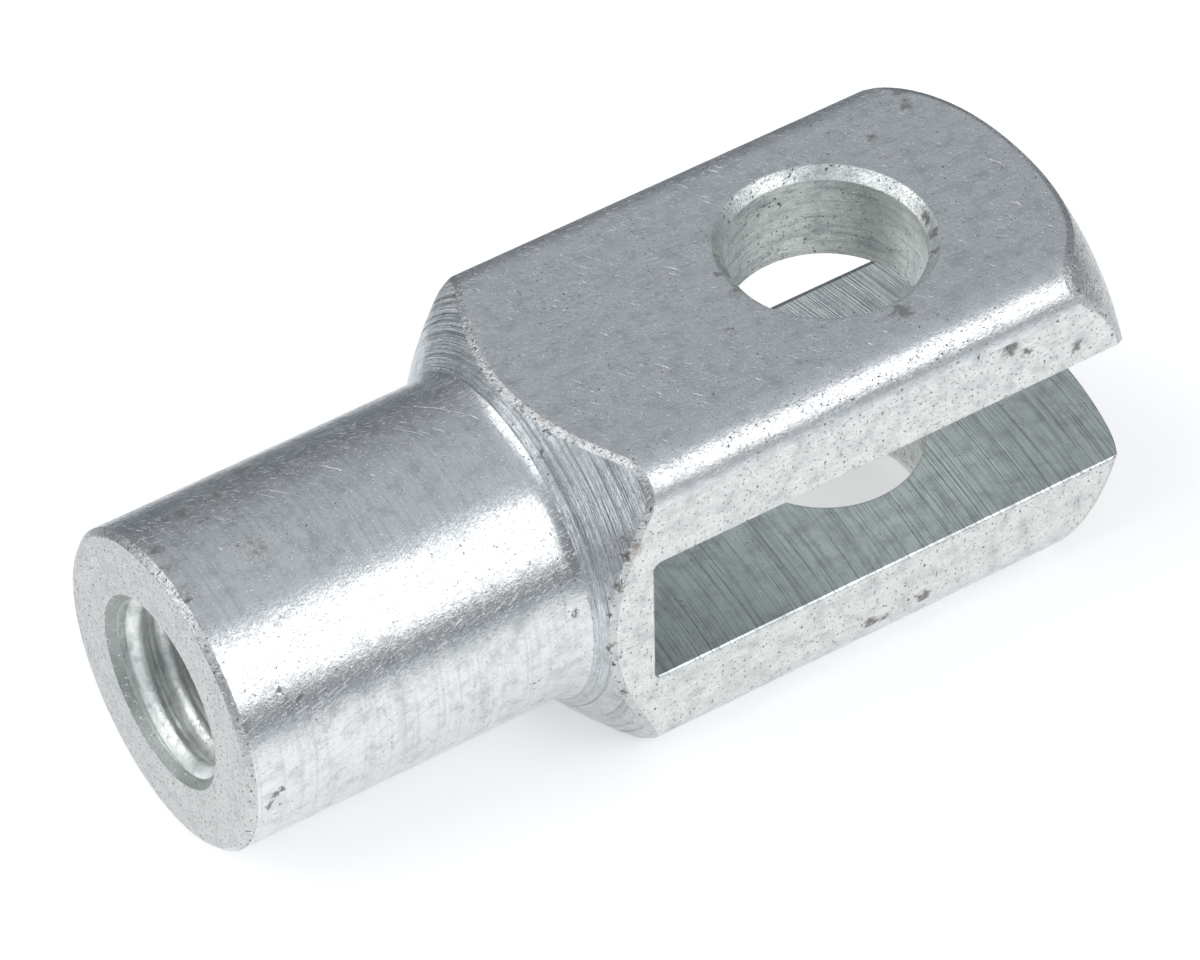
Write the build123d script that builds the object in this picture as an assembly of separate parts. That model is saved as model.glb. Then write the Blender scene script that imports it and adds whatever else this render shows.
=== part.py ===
from build123d import *
import math
import os

# A clevis rod end, or fork head: one length of square bar, turned down to a
# round shank at one end and domed at the other, then slotted, cross-bored
# and tapped. All lengths are millimetres and all angles are degrees.
#
# Frame: the origin is the middle of the pin bore. +X runs along the rod axis
# and out through the open fork, the shank lies at -X, +Z is the pin axis, and
# the part rests on its lower flat.

os.makedirs("parts", exist_ok=True)

# ---- driving dimensions ----------------------------------------------------
bar_side = 20.0                # square bar, across the flats
bar_corner_radius = 2.4        # drawn rounding of its four long corners

shank_step = 1.0               # the shank is turned this far below the flats
shank_reach = 41.0             # pin axis to the shank's end face
shank_edge_break = 0.35        # chamfer round the end face

shoulder_angle = 50.0          # half angle of the cone from shank to square
shoulder_reach = 20.0          # pin axis to where the cone runs out on a flat
shoulder_root_radius = 1.5     # nose of the turning tool, where cone meets shank

dome_reach = 12.5              # pin axis to the dome's edge on a flat
dome_radius = 30.0             # shallow turned end of the fork
dome_rim_inset = 1.0           # a tighter rim begins this far inside the flats
dome_rim_angle = 70.0          # how far the rim has turned over at the bar's corners
crest_chamfer = 0.25           # edge break where the turning runs out on the bar

pin_bore_diameter = 10.7       # easy clearance on a 10 mm pin
pin_bore_chamfer = 0.6         # on both outer flats

slot_width = 8.4
slot_reach = 18.3              # pin axis to the deepest point of the slot floor
slot_cutter_radius = 60.0      # the disc cutter leaves the floor hollow
slot_cutter_edge_radius = 0.5  # worn edge of the cutter, left in the floor corners

thread_diameter = 10.0         # M10: the wall stands at the screw's outside
thread_mouth_chamfer = 0.45    # countersink at the end face

turning_margin = 0.02          # the blank is turned just clear of the bar's corners
overrun = 5.0                  # how far the tools run past the surfaces they cut

# ---- sizes that follow -----------------------------------------------------
half_bar = bar_side / 2
shank_radius = half_bar - shank_step
dome_rim_start = half_bar - dome_rim_inset
pin_bore_radius = pin_bore_diameter / 2
thread_radius = thread_diameter / 2
corner_inset = half_bar - bar_corner_radius
blank_radius = corner_inset * math.sqrt(2) + bar_corner_radius + turning_margin


def turned_outline():
    """Half of the lathe's profile: the rod axis lies along x, radius along y."""
    cone_slope = math.tan(math.radians(shoulder_angle))
    cone_root_x = -shoulder_reach - shank_step / cone_slope
    cone_top_x = -shoulder_reach + (blank_radius - half_bar) / cone_slope

    # The rim arc leaves the dome arc without a kink and turns over towards the
    # bar's corners, so its radius follows from the angles at its two ends.
    blend_angle = math.asin(dome_rim_start / dome_radius)
    corner_angle = math.radians(dome_rim_angle)
    rim_rise = math.sin(corner_angle) - math.sin(blend_angle)
    rim_radius = (blank_radius - dome_rim_start) / rim_rise
    rim_centre_y = dome_rim_start - rim_radius * math.sin(blend_angle)
    rim_centre_x = dome_reach - math.sqrt(rim_radius ** 2 - (half_bar - rim_centre_y) ** 2)
    dome_centre_x = rim_centre_x - (dome_radius - rim_radius) * math.cos(blend_angle)

    end_face_centre = (-shank_reach, 0)
    end_corner = (-shank_reach, shank_radius)
    cone_root = (cone_root_x, shank_radius)
    cone_top = (cone_top_x, blank_radius)
    blend = math.degrees(blend_angle)
    with BuildSketch() as outline:
        with BuildLine():
            dome = CenterArc((dome_centre_x, 0), dome_radius, 0, blend)
            rim = CenterArc((rim_centre_x, rim_centre_y), rim_radius, blend, dome_rim_angle - blend)
            Polyline(rim @ 1, cone_top, cone_root, end_corner, end_face_centre, dome @ 0)
        make_face()
        chamfer(outline.vertices().sort_by_distance(end_corner)[0], shank_edge_break)
        fillet(outline.vertices().sort_by_distance(cone_root)[0], shoulder_root_radius)
    return outline.sketch


def turned_blank():
    """All that the lathe leaves: shank, cone and domed end, turned about the rod axis."""
    return revolve(turned_outline(), Axis.X)


def square_bar(blank):
    """The drawn square bar, a little longer than the turned blank."""
    ends = blank.bounding_box()
    length = ends.max.X - ends.min.X + 2 * overrun
    section = Plane.YZ * RectangleRounded(bar_side, bar_side, bar_corner_radius)
    return Pos(ends.min.X - overrun, 0, 0) * extrude(section, length)


def slot_cutter():
    """The path of the disc cutter, fed in from beyond the open end."""
    disc = Cylinder(slot_cutter_radius, slot_width)
    disc = fillet(disc.edges().filter_by(GeomType.CIRCLE), slot_cutter_edge_radius)
    feed = Box(
        slot_reach + dome_reach + dome_radius,
        2 * slot_cutter_radius,
        slot_width,
        align=(Align.MIN, Align.CENTER, Align.CENTER),
    )
    return Pos(slot_cutter_radius - slot_reach, 0, 0) * (disc + feed)


def pin_drill():
    """The drill and countersinks that cross both ears."""
    drill = Cylinder(pin_bore_radius, bar_side + 2 * overrun)
    sink_depth = pin_bore_chamfer + overrun
    sink = Cone(
        pin_bore_radius,
        pin_bore_radius + sink_depth,
        sink_depth,
        align=(Align.CENTER, Align.CENTER, Align.MIN),
    )
    upper_sink = Pos(0, 0, half_bar - pin_bore_chamfer) * sink
    return drill + upper_sink + mirror(upper_sink, Plane.XY)


def thread_drill():
    """The tapped hole, from its countersunk mouth until it breaks fully into the slot."""
    along_rod = Plane(origin=(-shank_reach, 0, 0), z_dir=(1, 0, 0))
    floor_hollow = slot_cutter_radius - math.sqrt(slot_cutter_radius ** 2 - thread_radius ** 2)
    drill = Cylinder(
        thread_radius,
        shank_reach - slot_reach + floor_hollow,
        align=(Align.CENTER, Align.CENTER, Align.MIN),
    )
    sink_depth = thread_mouth_chamfer + overrun
    sink = Cone(
        thread_radius + sink_depth,
        thread_radius,
        sink_depth,
        align=(Align.CENTER, Align.CENTER, Align.MAX),
    )
    return along_rod * (drill + Pos(0, 0, thread_mouth_chamfer) * sink)


def turned_bar():
    """The bar after the lathe, with a break along the crests where cone and dome run out."""
    blank = turned_blank()
    bar = blank & square_bar(blank)
    lathe_seams = (GeomType.LINE, GeomType.CIRCLE)
    crests = bar.edges().filter_by(lambda edge: edge.geom_type not in lathe_seams)
    return chamfer(crests, crest_chamfer)


def fork_head():
    head = turned_bar()
    for cut in (slot_cutter(), pin_drill(), thread_drill()):
        head -= cut
    return head


head = fork_head()
export_step(head, "parts/fork_head.step")
box = head.bounding_box()
print("fork head", [round(v, 2) for v in box.size], "mm, volume", round(head.volume), "mm3")
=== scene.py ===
# %% [markdown]
# # A clevis rod end in bright zinc plate
# A clevis rod end joins a threaded rod to a lug with one pin. This one is cut from square steel bar:
# turned, slotted, cross-bored and tapped, then zinc plated. The solid comes from CAD at its real size,
# so this lesson only gives it its thread, its finish, and a small studio to be looked at in.
# All places are in metres: +X runs out of the open fork and +Z along the pin.

# %% Load the CAD solid
import math

import bpy
from mathutils import Matrix, Vector


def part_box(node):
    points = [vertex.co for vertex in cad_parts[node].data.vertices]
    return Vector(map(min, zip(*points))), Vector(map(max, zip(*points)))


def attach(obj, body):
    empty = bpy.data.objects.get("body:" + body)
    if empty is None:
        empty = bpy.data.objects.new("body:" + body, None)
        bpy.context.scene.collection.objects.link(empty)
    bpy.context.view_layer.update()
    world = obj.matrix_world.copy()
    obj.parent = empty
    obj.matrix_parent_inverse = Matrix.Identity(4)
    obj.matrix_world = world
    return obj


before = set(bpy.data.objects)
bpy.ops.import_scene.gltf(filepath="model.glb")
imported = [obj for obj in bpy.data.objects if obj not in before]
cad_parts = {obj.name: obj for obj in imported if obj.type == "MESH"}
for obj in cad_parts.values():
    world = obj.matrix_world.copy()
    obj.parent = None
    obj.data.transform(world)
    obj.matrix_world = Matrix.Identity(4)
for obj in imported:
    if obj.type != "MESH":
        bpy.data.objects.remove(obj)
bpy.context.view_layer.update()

mm = 0.001
fork_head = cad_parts["fork_head"]
low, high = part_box("fork_head")
print("fork head:", [round((b - a) / mm, 2) for a, b in zip(low, high)], "mm")

# %% [markdown]
# ## Sizes read off the solid
# The finish changes from face to face, because each cutting tool leaves its own marks. The rod end's
# own measurements say where one surface stops and the next begins. The flats, the shank's end and the
# fork's tip are the box itself, and the rest are the sizes that a machinist would be given.

# %% Sizes of the rod end
half_bar = high.z                  # the drawn bar's flats
shank_end = low.x                  # the face that a lock nut tightens against
fork_tip = high.x
cone_start = -21.5 * mm            # where the shank's fillet begins to rise
dome_start = 7.0 * mm
slot_half_width = 4.2 * mm
slot_cutter_radius = 60.0 * mm
pin_bore_radius = 5.35 * mm
pin_chamfer_radius = 5.95 * mm
thread_major_radius = 5.0 * mm     # the plain wall of the tapped hole
thread_mouth_radius = 5.45 * mm
thread_pitch = 1.5 * mm            # coarse M10
thread_end = -18.4 * mm            # just inside the slot's floor
print("bar", 2 * half_bar / mm, "mm square, from", round(shank_end / mm, 2), "to", round(fork_tip / mm, 2))

# %% [markdown]
# ## The thread
# The tapped hole is taken to have a right-hand M10 thread with a pitch of 1.5 mm. Its turns look low
# and blunt, so the ridge is drawn 0.5 mm high, where a full M10 thread is about 0.8 mm. A screw
# would not fit this ridge exactly: it is there for the eye.
#
# A tap leaves no square start: the first turn grows out of the wall just behind the countersink.
# The Screw modifier can't fade a turn in, but one formula can, so the ridge is built point by
# point. A trapezium is carried round a helix, and its height grows over the first third of a turn.

# %% Build the thread ridge
thread_depth = 0.5 * mm                       # lower than a full thread
steps_per_turn = 72
growing_turns = 0.3                           # the ridge reaches its full height over these
start_angle = math.radians(120)               # where round the mouth it begins
base_sink = 0.05 * mm                         # the ridge's foot is let into the wall
profile = [                                   # along the axis, and the share of the full height
    (-0.44 * thread_pitch, None),
    (-0.44 * thread_pitch, 0.0),
    (-0.14 * thread_pitch, 0.9),
    (-0.05 * thread_pitch, 1.0),
    (0.05 * thread_pitch, 1.0),
    (0.14 * thread_pitch, 0.9),
    (0.44 * thread_pitch, 0.0),
    (0.44 * thread_pitch, None),
]
mouth_end = shank_end + thread_mouth_radius - thread_major_radius
first_x = mouth_end + 0.1 * thread_pitch
last_x = thread_end - 0.45 * thread_pitch
steps = int((last_x - first_x) / thread_pitch * steps_per_turn)


def thread_point(step, along, height):
    """One point of the ridge. A height of None is the foot that is hidden in the wall."""
    turn = 2 * math.pi * step / steps_per_turn + start_angle
    grown = min(1.0, 0.02 + step / (growing_turns * steps_per_turn))
    r = thread_major_radius + (base_sink if height is None else -thread_depth * grown * height)
    x = max(first_x + thread_pitch * step / steps_per_turn + along, mouth_end)
    return (x, r * math.cos(turn), r * math.sin(turn))


points = [thread_point(s, along, height) for s in range(steps + 1) for along, height in profile]
n = len(profile)
faces = [
    (s * n + k, (s + 1) * n + k, (s + 1) * n + (k + 1) % n, s * n + (k + 1) % n)
    for s in range(steps)
    for k in range(n)
]
faces += [tuple(range(n)), tuple(reversed(range(steps * n, steps * n + n)))]
thread_mesh = bpy.data.meshes.new("thread_turns")
thread_mesh.from_pydata(points, [], faces)
thread_mesh.shade_smooth()
thread_mesh.set_sharp_from_angle(angle=math.radians(50))
thread_turns = bpy.data.objects.new("thread_turns", thread_mesh)
bpy.context.scene.collection.objects.link(thread_turns)
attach(thread_turns, "root")
print("thread:", round(steps / steps_per_turn, 1), "turns,", len(faces), "faces")


# %% [markdown]
# ## Helpers for the finishes
# A material is a small graph of nodes. One function adds a node, sets what is given and links what
# is given, so each finish below reads as a list of its own ingredients. Colours are written as the
# hex values of a paint chart and turned to the linear values that the renderer adds up.

# %% Two small helpers
def linear(hex_colour):
    """An sRGB hex colour as linear red, green, blue and a solid alpha."""
    channels = [int(hex_colour[i:i + 2], 16) / 255 for i in (1, 3, 5)]
    return [c / 12.92 if c <= 0.04045 else ((c + 0.055) / 1.055) ** 2.4 for c in channels] + [1.0]


def add(tree, kind, settings=(), **links):
    """Adds a node of a kind, with settings as {socket or property: value} and links as socket=output."""
    node = tree.nodes.new(kind)
    for name, value in dict(settings).items():
        if isinstance(name, int) or name in node.inputs:
            node.inputs[name].default_value = value
        else:
            setattr(node, name, value)
    for name, output in links.items():
        tree.links.new(output, node.inputs[int(name[1:]) if name[1:].isdigit() else name.replace("_", " ")])
    return node


print("mid grey is", round(linear("#808080")[0], 3), "in linear light")

# %% [markdown]
# ## Bright zinc plate
# The plate is a few thousandths of a millimetre of electroplated zinc. It copies every mark of the
# steel under it, so all the faces share one metal and differ only in their marks. The metal is a
# cool light grey with a roughness near 0.3: it still throws back a lamp as a band, with soft edges.
#
# Rod ends are plated in a barrel and sold loose, so they knock together. That leaves a fine grain,
# hairline scratches, dull patches and dark specks on every face, and here and there a pit or a
# touch of rust. Every pattern below starts from a size on the real rod end. Real plating grain is
# about 0.05 mm. It is drawn five times coarser, so that it still shows when the whole rod end fills
# the view.

# %% Colours and sizes of the plate
zinc_colour = "#e0e2e3"
# painted highlight: scratches are coloured lighter for the light they catch
scratch_glint_colour = "#f4f5f5"
dull_zinc_colour = "#b2b6b7"
shaded_zinc_colour = "#8e9395"       # painted shade in the grooves of the tool marks
speck_colour = "#54514b"
rust_colour = "#735642"
grain_size = 5 * 0.05 * mm           # five times the real grain
speck_size = 0.2 * mm
patch_size = 1.111 * mm              # one dull patch
haze_size = 2.857 * mm               # one cluster of specks
scratch_width = 0.09 * mm            # real hairlines are finer, and would not show
scratch_depth = 0.02 * mm
worn_edge = 0.13 * mm                # how far an edge has been rounded by handling
rim_width = 0.22 * mm                # the strip where the slot's burr was brushed off
print("zinc plate reflects", round(linear(zinc_colour)[1], 2), "of the light")


# %% [markdown]
# ## Patterns
# Blender's Noise Texture has the same scale in all directions. A tool mark or a scratch is long and
# thin, so its place is first multiplied by a different number along each axis. Scratches are the
# rare peaks of such a noise, cut off by a Map Range, and they need no image.

# %% Stretched noise and scratches
def stretched_noise(tree, place, sizes, detail=4.0, roughness=0.6):
    """Noise whose features have their own size along x, y and z, in metres."""
    squeezed = add(
        tree, "ShaderNodeVectorMath", {"operation": "MULTIPLY", 1: [1 / size for size in sizes]}, s0=place,
    )
    noise = add(
        tree, "ShaderNodeTexNoise", {"Scale": 1.0, "Detail": detail, "Roughness": roughness},
        Vector=squeezed.outputs["Vector"],
    )
    return noise.outputs["Fac"]


def scratches(tree, place, heading, length, width, share):
    """Sparse thin lines, as a mask: heading turns them about all three axes, in degrees."""
    turned = add(
        tree, "ShaderNodeMapping", {"Rotation": [math.radians(a) for a in heading]}, Vector=place,
    )
    lines = stretched_noise(tree, turned.outputs["Vector"], (length, width, width), 2.0, 0.5)
    mask = add(tree, "ShaderNodeMapRange", {"From Min": share, "From Max": share + 0.06}, Value=lines)
    return mask.outputs["Result"]


def hairlines(tree, place, share):
    """Short scratches two ways and rarer long ones. A higher share leaves fewer of them."""
    crossing = scratches(tree, place, (20, 10, 28), 5.0 * mm, scratch_width, share)
    along = scratches(tree, place, (-35, 15, -12), 7.0 * mm, scratch_width, share)
    short = add(tree, "ShaderNodeMath", {"operation": "MAXIMUM"}, s0=crossing, s1=along)
    long = scratches(tree, place, (12, -8, 57), 20.0 * mm, 0.14 * mm, share + 0.05)
    scratched = add(tree, "ShaderNodeMath", {"operation": "MAXIMUM"}, s0=short.outputs["Value"], s1=long)
    return scratched.outputs["Value"]


# %% [markdown]
# ## Pits, specks and rust
# Specks lie everywhere, thicker in some places than in others, so one noise draws them and a wider
# one says where. A pit or a rust patch is a mishap with a place of its own. It is a short list
# of points on the rod end, and each is the distance to its point, shaken by noise to a ragged edge.

# %% Specks and ragged spots
ragged_size = 0.4 * mm               # one bay of a pit's ragged edge
ragged_reach = 0.7 * mm              # how far that edge strays from a circle


def speckles(tree, place, dirt):
    """Dark specks as a mask. A dirt of 0.5 is a clean face, and 1 a well-handled one."""
    fine = stretched_noise(tree, place, (speck_size,) * 3, 3.0, 0.6)
    haze = stretched_noise(tree, place, (haze_size,) * 3, 3.0)
    small = add(
        tree, "ShaderNodeMapRange", {"From Min": 0.66 - 0.05 * dirt, "From Max": 0.73 - 0.05 * dirt},
        Value=fine,
    )
    field = add(
        tree, "ShaderNodeMapRange", {"From Min": 0.60 - 0.3 * dirt, "From Max": 0.75 - 0.3 * dirt},
        Value=haze,
    )
    specks = add(
        tree, "ShaderNodeMath", {"operation": "MULTIPLY"},
        s0=small.outputs["Result"], s1=field.outputs["Result"],
    )
    return specks.outputs["Value"]


def ragged_spots(tree, place, spots):
    """A mask over every spot, each given as (x, y, z, radius) in millimetres."""
    wobble = add(tree, "ShaderNodeTexNoise", {"Scale": 1 / ragged_size, "Detail": 3.0}, Vector=place)
    swing = add(
        tree, "ShaderNodeVectorMath",
        {"operation": "MULTIPLY_ADD", 1: (2 * ragged_reach,) * 3, 2: (-ragged_reach,) * 3},
        s0=wobble.outputs["Color"],
    )
    shaken = add(tree, "ShaderNodeVectorMath", {"operation": "ADD"}, s0=place, s1=swing.outputs["Vector"])
    nearest = None
    for x, y, z, radius in spots:
        gap = add(
            tree, "ShaderNodeVectorMath", {"operation": "DISTANCE", 1: (x * mm, y * mm, z * mm)},
            s0=shaken.outputs["Vector"],
        )
        share = add(tree, "ShaderNodeMath", {"operation": "DIVIDE", 1: radius * mm}, s0=gap.outputs["Value"])
        if nearest is None:
            nearest = share
        else:
            nearest = add(
                tree, "ShaderNodeMath", {"operation": "MINIMUM"},
                s0=nearest.outputs["Value"], s1=share.outputs["Value"],
            )
    mask = add(
        tree, "ShaderNodeMapRange", {"From Min": 1.2, "From Max": 0.5, "To Max": 0.75},
        Value=nearest.outputs["Value"],
    )
    return mask.outputs["Result"]


# %% [markdown]
# ## Colour
# The bare plate comes first: clean zinc, dull patches, painted shade in the grooves of the tool marks,
# and a painted highlight along the scratches. Dirt comes over it. Each layer is a Mix that lets the
# layer below show where its mask is 0. Metal shows dirt only if it stops being metal there, so the
# dirt's mask is handed on as well, to lower the Metallic value and to sink into the surface.

# %% The colour of bare plate
def plate_colour(tree, patches, marks, scratched, colour, shade):
    """Clean zinc of a colour, with dull patches, painted shade in the marks' grooves and painted highlights
    on scratches.
    """
    dull = add(
        tree, "ShaderNodeMapRange", {"From Min": 0.46, "From Max": 0.70, "To Max": 0.7}, Value=patches,
    )
    plain = add(
        tree, "ShaderNodeMix", {"data_type": "RGBA", 6: linear(colour), 7: linear(dull_zinc_colour)},
        s0=dull.outputs["Result"],
    )
    # painted shade: the grooves of the marks are coloured darker
    groove_shade = add(
        tree, "ShaderNodeMapRange", {"From Min": 0.50, "From Max": 0.34, "To Max": shade}, Value=marks,
    )
    shaded = add(
        tree, "ShaderNodeMix", {"data_type": "RGBA", 7: linear(shaded_zinc_colour)},
        s0=groove_shade.outputs["Result"], s6=plain.outputs[2],
    )
    # painted highlight along the scratches
    gleam = add(tree, "ShaderNodeMath", {"operation": "MULTIPLY", 1: 0.9}, s0=scratched)
    scored = add(
        tree, "ShaderNodeMix", {"data_type": "RGBA", 7: linear(scratch_glint_colour)},
        s0=gleam.outputs["Value"], s6=shaded.outputs[2],
    )
    return scored.outputs[2]


# %% Dirt over the plate
def dirty_colour(tree, place, bare_plate, grain, dirt, pits, rust):
    """Specks, pits and rust over the plate: the colour, the hollows' mask and the mask of all dirt."""
    hollows = speckles(tree, place, dirt)
    tint = add(
        tree, "ShaderNodeMix", {"data_type": "RGBA", 7: linear(speck_colour)}, s0=hollows, s6=bare_plate,
    ).outputs[2]
    if pits:
        mask = ragged_spots(tree, place, pits)
        tint = add(
            tree, "ShaderNodeMix", {"data_type": "RGBA", 7: linear(speck_colour)}, s0=mask, s6=tint,
        ).outputs[2]
        hollows = add(tree, "ShaderNodeMath", {"operation": "MAXIMUM"}, s0=hollows, s1=mask).outputs["Value"]
    soiled = hollows
    if rust:
        patches = ragged_spots(tree, place, rust)
        crust = add(
            tree, "ShaderNodeMapRange", {"From Min": 0.42, "From Max": 0.60, "To Max": 0.85}, Value=grain,
        )
        rusty = add(tree, "ShaderNodeMath", {"operation": "MULTIPLY"}, s0=patches, s1=crust.outputs["Result"])
        tint = add(
            tree, "ShaderNodeMix", {"data_type": "RGBA", 7: linear(rust_colour)},
            s0=rusty.outputs["Value"], s6=tint,
        ).outputs[2]
        soiled = add(
            tree, "ShaderNodeMath", {"operation": "MAXIMUM"}, s0=hollows, s1=rusty.outputs["Value"],
        ).outputs["Value"]
    return tint, hollows, soiled


# %% [markdown]
# ## Relief
# Marks this fine are drawn as bumps, which only tilt the surface as the light sees it. They are laid
# on each other, first the tool's marks, then the grain of the plate, then scratches and hollows.
# The Bevel node under them rounds the edges a little, as tumbling in the plating barrel does.
#
# Along the slot's mouth a brush has taken the burr off. That leaves a narrow slope that catches the
# light as a bright line. It is one more bump, with a ramp for its height.

# %% Bumps on a worn edge
def plate_relief(tree, marks, mark_depth, grain, grain_depth, scratched, hollows, rim):
    """The tilt of the surface under the light, as a normal."""
    edge = add(tree, "ShaderNodeBevel", {"samples": 4, "Radius": worn_edge})
    marked = add(
        tree, "ShaderNodeBump", {"Distance": mark_depth}, Height=marks, Normal=edge.outputs["Normal"],
    )
    grainy = add(
        tree, "ShaderNodeBump", {"Distance": grain_depth}, Height=grain, Normal=marked.outputs["Normal"],
    )
    cuts = add(tree, "ShaderNodeMath", {"operation": "ADD"}, s0=scratched, s1=hollows)
    cut = add(
        tree, "ShaderNodeBump", {"Distance": scratch_depth, "invert": True},
        Height=cuts.outputs["Value"], Normal=grainy.outputs["Normal"],
    )
    if rim is not None:
        cut = add(
            tree, "ShaderNodeBump", {"Distance": rim_width, "invert": True},
            Height=rim, Normal=cut.outputs["Normal"],
        )
    return cut.outputs["Normal"]


# %% [markdown]
# ## Plating any marks
# A finish begins as a height map of its tool's marks, and one function plates it. Zinc keeps the
# metal's default IOR and a Metallic of 1, apart from the dirt. Its roughness rises on dull patches.

# %% The plated metal that every face shares
def plated_material(name):
    """A new material with an empty graph, and the place on the solid to draw its marks by."""
    material = bpy.data.materials.new(name)
    material.use_nodes = True
    material.node_tree.nodes.clear()
    place = add(material.node_tree, "ShaderNodeTexCoord").outputs["Object"]
    return material, material.node_tree, place


def plate(tree, place, marks, mark_depth, grain_depth, roughness, shade=0.5, dirt=0.5,
          pits=(), rust=(), colour=zinc_colour, scratch_share=0.64, rim=None):
    """Plates the marks, given as a height from 0 to 1, and adds the wear of handling."""
    grain = stretched_noise(tree, place, (grain_size,) * 3, 4.0, 0.7)
    patches = stretched_noise(tree, place, (patch_size,) * 3, 5.0, 0.7)
    scratched = hairlines(tree, place, scratch_share)
    bare_plate = plate_colour(tree, patches, marks, scratched, colour, shade)
    tint, hollows, soiled = dirty_colour(tree, place, bare_plate, grain, dirt, pits, rust)
    normal = plate_relief(tree, marks, mark_depth, grain, grain_depth, scratched, hollows, rim)
    metallic = add(tree, "ShaderNodeMapRange", {"To Min": 1.0, "To Max": 0.2}, Value=soiled)
    rough = add(
        tree, "ShaderNodeMapRange",
        {"From Min": 0.3, "From Max": 0.75, "To Min": roughness - 0.05, "To Max": roughness + 0.12},
        Value=patches,
    )
    metal = add(
        tree, "ShaderNodeBsdfPrincipled", Base_Color=tint, Metallic=metallic.outputs["Result"],
        Roughness=rough.outputs["Result"], Normal=normal,
    )
    add(tree, "ShaderNodeOutputMaterial", Surface=metal.outputs["BSDF"])


# %% [markdown]
# ## The marks of each tool
# A drawn flat has faint straight lines along the bar. A turned face has rings round the rod axis,
# set apart by the tool's feed. The slot's walls carry the long arcs of a disc cutter, and the pin
# bore has rings round the pin axis. Each is a noise that is squeezed across the marks and stretched
# along them, so the lines wander and break as real ones do. Fine feed marks stand about 0.1 mm
# apart. They are drawn two or three times coarser, so that they are wider than a point of the image.

# %% The drawn bar
fine_mark = 0.3333 * mm              # three times the spacing of real drawing and boring marks
fine_mark_length = 10 * fine_mark
print("drawn lines:", round(fine_mark / mm, 2), "mm apart")


def drawn_finish(name, line_depth, grain_depth, dirt, pits, rust=(), colour=zinc_colour):
    """Straight lines along the bar, from the die that it was pulled through."""
    material, tree, place = plated_material(name)
    lines = stretched_noise(tree, place, (fine_mark_length, fine_mark, fine_mark))
    plate(
        tree, place, lines, line_depth, grain_depth, roughness=0.28, shade=0.15, dirt=dirt,
        pits=pits, rust=rust, colour=colour,
    )
    return material


# %% The slot
cutter_mark = 0.125 * mm             # about the feed of one tooth of the slot cutter
cutter_mark_length = 8.333 * mm
print("slot arcs:", cutter_mark / mm, "mm apart, cutter radius", slot_cutter_radius / mm, "mm")


def milled_finish():
    """Long arcs left by the trailing edge of the slot's disc cutter."""
    material, tree, place = plated_material("zinc_on_milled_slot")
    split = add(tree, "ShaderNodeSeparateXYZ", Vector=place)
    bow = add(tree, "ShaderNodeMath", {"operation": "MULTIPLY"}, s0=split.outputs["Y"], s1=split.outputs["Y"])
    swept = add(
        tree, "ShaderNodeMath", {"operation": "MULTIPLY_ADD", 1: 0.5 / slot_cutter_radius},
        s0=bow.outputs["Value"], s2=split.outputs["X"],
    )
    along = add(
        tree, "ShaderNodeCombineXYZ", X=swept.outputs["Value"], Y=split.outputs["Y"], Z=split.outputs["Z"],
    )
    sizes = (cutter_mark, cutter_mark_length, cutter_mark)
    arcs = stretched_noise(tree, along.outputs["Vector"], sizes, 3.0)
    side = add(tree, "ShaderNodeMath", {"operation": "ABSOLUTE"}, s0=split.outputs["Y"])
    brushed = add(
        tree, "ShaderNodeMapRange", {"From Min": half_bar - rim_width, "From Max": half_bar},
        Value=side.outputs["Value"],
    )
    plate(
        tree, place, arcs, mark_depth=0.07 * mm, grain_depth=0.012 * mm, roughness=0.32, shade=0.6,
        colour="#dfe5e3", scratch_share=0.70, rim=brushed.outputs["Result"],
    )
    return material


# %% The turned faces
ring_wander = 12.5 * mm              # over which one ring strays from a true circle
print("turned rings stray over", ring_wander / mm, "mm")


def turned_finish(name, ring_depth, ring_spacing, shade, dirt, grain_depth, pits=(), rust=(),
                  colour=zinc_colour, scratch_share=0.64):
    """Rings round the rod axis. Place along it plus distance from it grows along every turned face."""
    material, tree, place = plated_material(name)
    split = add(tree, "ShaderNodeSeparateXYZ", Vector=place)
    across = add(tree, "ShaderNodeCombineXYZ", Y=split.outputs["Y"], Z=split.outputs["Z"])
    radius = add(tree, "ShaderNodeVectorMath", {"operation": "LENGTH"}, s0=across.outputs["Vector"])
    path = add(
        tree, "ShaderNodeMath", {"operation": "ADD"}, s0=split.outputs["X"], s1=radius.outputs["Value"],
    )
    along = add(
        tree, "ShaderNodeCombineXYZ", X=path.outputs["Value"], Y=split.outputs["Y"], Z=split.outputs["Z"],
    )
    rings = stretched_noise(
        tree, along.outputs["Vector"], (ring_spacing, ring_wander, ring_wander), 5.0, 0.65,
    )
    plate(
        tree, place, rings, ring_depth, grain_depth, roughness=0.21, shade=shade, dirt=dirt,
        pits=pits, rust=rust, colour=colour, scratch_share=scratch_share,
    )
    return material


# %% The pin bore and the tapped hole
countersink_pits = [
    (-5.5, 2.4, 9.7, 0.4), (-5.6, 1.4, 9.6, 0.5), (-5.7, -0.2, 9.6, 0.5), (-5.4, -1.6, 9.7, 0.45),
    (5.6, -1.2, 9.6, 0.4), (5.2, -2.5, 9.6, 0.45), (4.4, -3.6, 9.7, 0.4),
]
tap_mark_length = 2.0 * mm
print("pits round the pin bore:", len(countersink_pits))


def bored_finish():
    """Rings round the pin axis, and the pits that dirt has left round the bore's mouth."""
    material, tree, place = plated_material("zinc_in_pin_bore")
    rings = stretched_noise(tree, place, (fine_mark_length, fine_mark_length, fine_mark))
    plate(
        tree, place, rings, mark_depth=0.05 * mm, grain_depth=0.045 * mm, roughness=0.36, shade=0.45,
        dirt=1.0, pits=countersink_pits, colour="#e2e6e3",
    )
    return material


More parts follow.
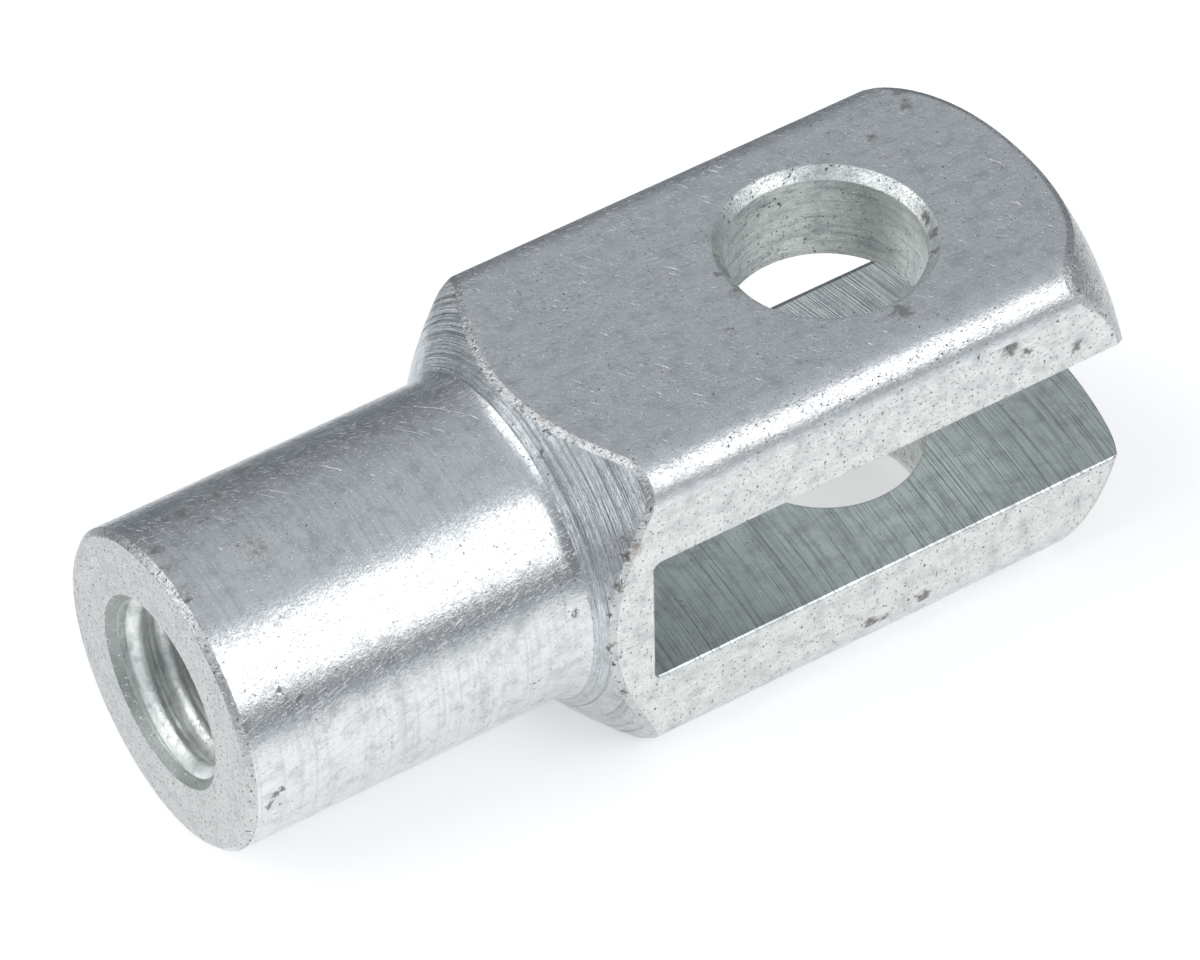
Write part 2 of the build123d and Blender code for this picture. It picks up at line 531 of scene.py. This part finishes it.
def tapped_finish(name, colour):
    """Cutting oil and dust stay in a tapped hole; the countersink round its mouth is darker, as painted
    shade.
    """
    material, tree, place = plated_material(name)
    rings = stretched_noise(tree, place, (fine_mark, tap_mark_length, tap_mark_length))
    plate(
        tree, place, rings, mark_depth=0.06 * mm, grain_depth=0.04 * mm, roughness=0.42, shade=0.15,
        dirt=0.4, colour=colour,
    )
    return material


# %% [markdown]
# ## The finishes
# The flats, the bar's sides and its rounded corners are drawn, and the sides took the most knocks.
# The cone was turned more roughly than the shank. The end face, the dome and the crest between
# cone and bar stick out, so they are the most worn. The countersink of the tapped hole is painted
# darker, as painted shade at the mouth of the hole.
#
# Each depth is the Distance of a Bump node. It is more than a real mark is deep,
# because the marks are drawn wider than real ones, and a noise seldom uses its whole range.

# %% Pits and rust on the crest of the cone
crest_pits = [
    (-20.0, -9.8, 1.9, 0.15), (-20.1, -9.8, -0.4, 0.28), (-19.7, -10, -1.3, 0.15), (-19.4, -9.9, -4.0, 0.22),
    (-18.9, -9.8, 5.5, 0.30), (-19.5, -9.9, 3.7, 0.32), (-19.9, -9.9, 2.9, 0.2), (-19.6, -3.8, 9.8, 0.25),
]
crest_rust = [
    (-19.4, -3.1, 10, 0.45), (-20.0, -1.4, 10, 0.4), (-18.6, -5.0, 9.9, 0.45), (-18.8, -9.8, 6.0, 0.7),
]
print("the crest has", len(crest_pits), "pits and", len(crest_rust), "rust patches")

# %% Drawn finishes
pin_flat_finish = drawn_finish(
    "zinc_on_pin_flats", line_depth=0.010 * mm, grain_depth=0.033 * mm, dirt=0.7,
    pits=[
        (9.5, 6.4, 10, 0.5), (10.0, 7.6, 10, 0.6), (6.6, 5.3, 10, 0.35), (0.3, -6.6, 10, 0.65),
        (-5.9, 1.0, 10, 0.3), (-7.9, -2.8, 10, 0.25), (-6.0, -0.6, 10, 0.35),
    ],
    rust=[(6.3, 3.6, 10, 0.3)],
)
bar_side_finish = drawn_finish(
    "zinc_on_bar_sides", line_depth=0.012 * mm, grain_depth=0.085 * mm, dirt=1.2,
    pits=[
        (4.7, -10, 7.6, 0.5), (3.8, -10, 8.2, 0.55), (5.8, -10, 6.8, 0.35), (-3.9, -10, -7.6, 0.5),
        (-3.0, -10, -7.9, 0.4), (-0.6, -10, -7.6, 0.4), (9.0, -10, 5.4, 0.4), (-6.3, -10, -8.0, 0.25),
    ] + crest_pits,
    rust=crest_rust, colour="#ececea",
)
print("drawn:", pin_flat_finish.name, bar_side_finish.name)

# %% Turned finishes
shank_finish = turned_finish(
    "zinc_on_turned_shank", ring_depth=0.016 * mm, ring_spacing=0.25 * mm, shade=0.2, dirt=0.45,
    grain_depth=0.020 * mm,
    pits=[
        (-40.1, 1.0, 9, 0.5), (-40.5, -2.6, 8.6, 0.3), (-39.7, -9, -0.5, 0.35), (-39.2, -9, -0.2, 0.25),
        (-38.2, -7.5, 5, 0.25), (-37.3, -8, 4.2, 0.3), (-21.5, -8.9, 2.0, 0.2), (-40.0, -9, -1.1, 0.3),
        (-37.5, 3.0, 8.5, 0.6), (-35.4, 3.1, 8.5, 0.4), (-33.0, 4.5, 7.8, 0.7), (-29.2, 4.9, 7.6, 0.5),
        (-36.9, 1.4, 8.9, 0.3), (-28.6, 1.9, 8.8, 0.25),
    ] + crest_pits,
    rust=[(-35.9, -1.7, 8.9, 0.8), (-40.6, -0.4, 9, 0.8), (-40.4, -2.4, 8.7, 0.7), (-40.7, -4.2, 8, 0.5)],
)
cone_finish = turned_finish(
    "zinc_on_turned_cone", ring_depth=0.32 * mm, ring_spacing=0.2941 * mm, shade=0.8, dirt=0.45,
    grain_depth=0.010 * mm,
    pits=[(-20.3, -4.0, 8.8, 0.22), (-20.5, -1.9, 9.3, 0.15), (-21.1, -8.9, 1.8, 0.2)] + crest_pits,
    rust=crest_rust, colour="#dbdfe2", scratch_share=0.72,
)
knocked_finish = turned_finish(
    "zinc_on_knocked_faces", ring_depth=0.010 * mm, ring_spacing=fine_mark, shade=0.15, dirt=1.2,
    grain_depth=0.070 * mm, pits=crest_pits, rust=crest_rust, colour="#cdcecd",
)
print("turned:", shank_finish.name, cone_finish.name, knocked_finish.name)

# %% Finishes in slot order
finishes = [
    pin_flat_finish,
    bar_side_finish,
    shank_finish,
    cone_finish,
    milled_finish(),
    bored_finish(),
    tapped_finish("zinc_in_tapped_hole", "#f6f9f6"),
    # the countersink's dark colour is painted shade at the mouth of the hole
    tapped_finish("painted_shade_in_countersink", "#9da4a0"),
    knocked_finish,
]
print("finishes:", [m.name for m in finishes])

# %% [markdown]
# ## Which face was cut by what
# The solid keeps its mesh, and only the material number of each facet is set. A facet's middle and
# the way it faces are enough to say which tool made it. The narrow edge break along the crest of the
# cone is a face of its own, because it takes the knocks.

# %% Which finish a facet has
PIN_FLAT, BAR_SIDE, TURNED, CONE, MILLED, BORED, TAPPED, SHADED_SINK, KNOCKED = range(len(finishes))
hair = 0.01 * mm                     # allowance for rounding in the mesh
end_face_depth = 0.4 * mm            # the end face and the edge break round it
crest_radius = 9.8 * mm              # the crest of the cone is nowhere nearer the rod axis
slot_floor_start = -19.0 * mm        # just behind the slot's floor
arms_start = -10.0 * mm              # past this the fork has no faces of cone or slot floor


def finish_of_hole(centre, normal):
    """The finish of a facet in the tapped hole or the pin bore, or None."""
    from_rod_axis = math.hypot(centre.y, centre.z)
    from_pin_axis = math.hypot(centre.x, centre.y)
    in_tapped_hole = centre.x < thread_end + 0.5 * mm and from_rod_axis < thread_mouth_radius
    if in_tapped_hole and normal.x > -0.9:
        on_thread_wall = from_rod_axis < 1.02 * thread_major_radius and centre.x > mouth_end
        # the countersink takes the finish with painted shade
        return TAPPED if on_thread_wall else SHADED_SINK
    if from_pin_axis < pin_bore_radius + 5 * hair and abs(normal.z) < 0.5:
        return BORED
    if from_pin_axis < pin_chamfer_radius + 10 * hair and abs(normal.z) < 0.9:
        return BORED
    return None


def finish_of(centre, normal):
    """The finish of one facet, from its middle and its outward normal."""
    in_hole = finish_of_hole(centre, normal)
    if in_hole is not None:
        return in_hole
    if normal.x < -0.5 and centre.x < shank_end + end_face_depth:
        return KNOCKED
    from_rod_axis = math.hypot(centre.y, centre.z)
    if centre.x > slot_floor_start and abs(centre.z) < slot_half_width + 2 * hair:
        if abs(normal.z) > 0.2 or (normal.x > 0.2 and centre.x < arms_start):
            return MILLED
    along_bar = abs(normal.x) < 0.01
    on_flat = max(abs(centre.y), abs(centre.z)) > half_bar - hair
    if along_bar and (on_flat or from_rod_axis > half_bar):
        return BAR_SIDE if abs(normal.y) > 0.99 else PIN_FLAT
    if cone_start < centre.x < arms_start and from_rod_axis > crest_radius and -0.68 < normal.x < -0.1:
        return KNOCKED
    if centre.x > dome_start:
        return KNOCKED
    return CONE if centre.x > cone_start and normal.x < -0.6 else TURNED


# %% Give each facet its finish
for finish in finishes:
    if finish.name not in fork_head.data.materials:
        fork_head.data.materials.append(finish)
while len(fork_head.data.materials) > len(finishes):
    fork_head.data.materials.pop(index=0)
for polygon in fork_head.data.polygons:
    polygon.material_index = finish_of(polygon.center, polygon.normal)
thread_turns.data.materials.append(finishes[TAPPED])
counts = [sum(p.material_index == k for p in fork_head.data.polygons) for k in range(len(finishes))]
print("facets of each finish:", counts)

# %% [markdown]
# ## The studio
# Polished metal shows its surroundings more than its own colour, so the studio is part of the
# finish. A white floor, two softboxes and a plain grey room give it the bright bands and the darker
# stretches between them. A grey card lies on the floor behind the rod end. Only the metal sees it,
# and it gives the far side of the cone and the shank a dark edge against the white.
#
# The floor is lit by the lamps as any paper is, so it keeps the shadow. The Light Path node adds a
# little glow of its own where the camera or a reflection meets it, and leaves scattered light alone.
# Further out, the paper's colour and glow fade to grey. This painted falloff of light is what the
# metal reflects as a darker horizon.

# %% Floor
light_floor_end = 70 * mm            # the floor is at its brightest out to here
dark_floor_start = 120 * mm          # and has faded to the backdrop's grey from here on


def flat_sheet(name, left, right, near, far, height):
    """A flat rectangle on the studio's side of the frame, in metres."""
    corners = [(left, near, 0), (right, near, 0), (right, far, 0), (left, far, 0)]
    mesh = bpy.data.meshes.new(name)
    mesh.from_pydata(corners, [], [(0, 1, 2, 3)])
    sheet = bpy.data.objects.new(name, mesh)
    sheet.location.z = height
    bpy.context.scene.collection.objects.link(sheet)
    return sheet


floor = flat_sheet("floor", -1.5, 1.5, -1.5, 1.5, low.z)
paper = bpy.data.materials.new("white_paper")
paper.use_nodes = True
tree = paper.node_tree
tree.nodes.clear()
ray = add(tree, "ShaderNodeLightPath")
seen = add(tree, "ShaderNodeMath", s0=ray.outputs["Is Camera Ray"], s1=ray.outputs["Is Glossy Ray"])
shown = add(
    tree, "ShaderNodeMath", {"use_clamp": True},
    s0=seen.outputs["Value"], s1=ray.outputs["Is Transmission Ray"],
)
spot = add(tree, "ShaderNodeTexCoord")
reach = add(tree, "ShaderNodeVectorMath", {"operation": "LENGTH"}, s0=spot.outputs["Object"])
# painted falloff of light: the floor darkens with distance from the rod end
light_pool_falloff = add(
    tree, "ShaderNodeMapRange", {"From Min": light_floor_end, "From Max": dark_floor_start},
    Value=reach.outputs["Value"],
)
strength = add(tree, "ShaderNodeMapRange", {"To Min": 0.45, "To Max": 0.06}, Value=light_pool_falloff.outputs["Result"])
lift = add(
    tree, "ShaderNodeMath", {"operation": "MULTIPLY"},
    s0=shown.outputs["Value"], s1=strength.outputs["Result"],
)
tone = add(
    tree, "ShaderNodeMix", {"data_type": "RGBA", 6: linear("#e4e4e4"), 7: linear("#87919a")},
    s0=light_pool_falloff.outputs["Result"],
)
diffuse = add(tree, "ShaderNodeBsdfDiffuse", Color=tone.outputs[2])
glow = add(tree, "ShaderNodeEmission", {"Color": linear("#ffffff")}, Strength=lift.outputs["Value"])
both = add(tree, "ShaderNodeAddShader", s0=diffuse.outputs["BSDF"], s1=glow.outputs["Emission"])
add(tree, "ShaderNodeOutputMaterial", Surface=both.outputs["Shader"])
floor.data.materials.append(paper)
print("floor at", round(floor.location.z / mm, 1), "mm, level with the lower flat")

# %% Grey card
# painted shade in reflections: a dark sheet in place of a shaded floor behind the rod end
card_front = 36 * mm
card = flat_sheet("grey_card", -0.30, 0.20, card_front, 0.30, low.z + 0.2 * mm)
card.visible_camera = card.visible_diffuse = card.visible_shadow = False
card_stock = bpy.data.materials.new("grey_card")
card_stock.use_nodes = True
tree = card_stock.node_tree
tree.nodes.clear()
matt = add(tree, "ShaderNodeBsdfDiffuse", {"Color": linear("#8d9296")})
add(tree, "ShaderNodeOutputMaterial", Surface=matt.outputs["BSDF"])
card.data.materials.append(card_stock)
print("grey card from", card_front / mm, "mm behind the rod axis")

# %% Room
world = bpy.data.worlds.new("room")
bpy.context.scene.world = world
world.use_nodes = True
tree = world.node_tree
tree.nodes.clear()
direction = add(tree, "ShaderNodeTexCoord")
sides = add(tree, "ShaderNodeSeparateXYZ", Vector=direction.outputs["Generated"])
ceiling = add(
    tree, "ShaderNodeMapRange", {"From Min": 0.10, "From Max": 1.0, "To Min": 0.23, "To Max": 0.69},
    Value=sides.outputs["Z"],
)
light = add(tree, "ShaderNodeBackground", {"Color": linear("#edf3fa")}, Strength=ceiling.outputs["Result"])
add(tree, "ShaderNodeOutputWorld", Surface=light.outputs["Background"])
print("room:", world.name)


# %% Softboxes
def softbox(name, towards, width, height, radiance, distance=0.6):
    """A soft lamp that faces the rod end from a direction given as a vector."""
    lamp = bpy.data.lights.new(name, "AREA")
    lamp.shape = "RECTANGLE"
    lamp.size = width
    lamp.size_y = height
    lamp.energy = radiance * math.pi * width * height
    holder = bpy.data.objects.new(name, lamp)
    place = Vector(towards).normalized() * distance
    holder.location = place
    holder.rotation_euler = place.to_track_quat("Z", "Y").to_euler()
    holder.visible_camera = False
    bpy.context.scene.collection.objects.link(holder)
    return holder


softboxes = [
    softbox("front_softbox", (0.375, -0.71, 0.596), 0.40, 0.40, 2.3),
    softbox("side_softbox", (-0.68, 0.30, 0.67), 0.60, 0.70, 1.6),
]
print("lamps:", [(lamp.name, round(lamp.data.energy, 2)) for lamp in softboxes])

# %% [markdown]
# ## The camera
# A long lens from about forty centimetres keeps the bar's long edges nearly parallel. The camera
# looks down on the rod end from the shank's side and a little in front.

# %% Camera
aim = Vector((-12.0, 3.49, -3.60)) * mm
heading = math.radians(-32.452)
elevation = math.radians(44.225)
roll = math.radians(-1.229)
distance = 401.22 * mm
backwards = Vector((
    math.sin(heading) * math.cos(elevation), -math.cos(heading) * math.cos(elevation), math.sin(elevation),
))
lens = bpy.data.cameras.new("camera")
lens.lens = 227.6
lens.sensor_width = 36.0
lens.sensor_fit = "HORIZONTAL"
lens.clip_start = 0.01
camera = bpy.data.objects.new("camera", lens)
bpy.context.scene.collection.objects.link(camera)
upright = backwards.to_track_quat("Z", "Y").to_matrix()
turned = (upright @ Matrix.Rotation(roll, 3, "Z")).to_4x4()
camera.matrix_world = Matrix.Translation(aim + distance * backwards) @ turned
bpy.context.scene.camera = camera
bpy.context.scene.view_settings.view_transform = "Standard"
print("camera at", [round(c, 3) for c in camera.matrix_world.translation], "m")
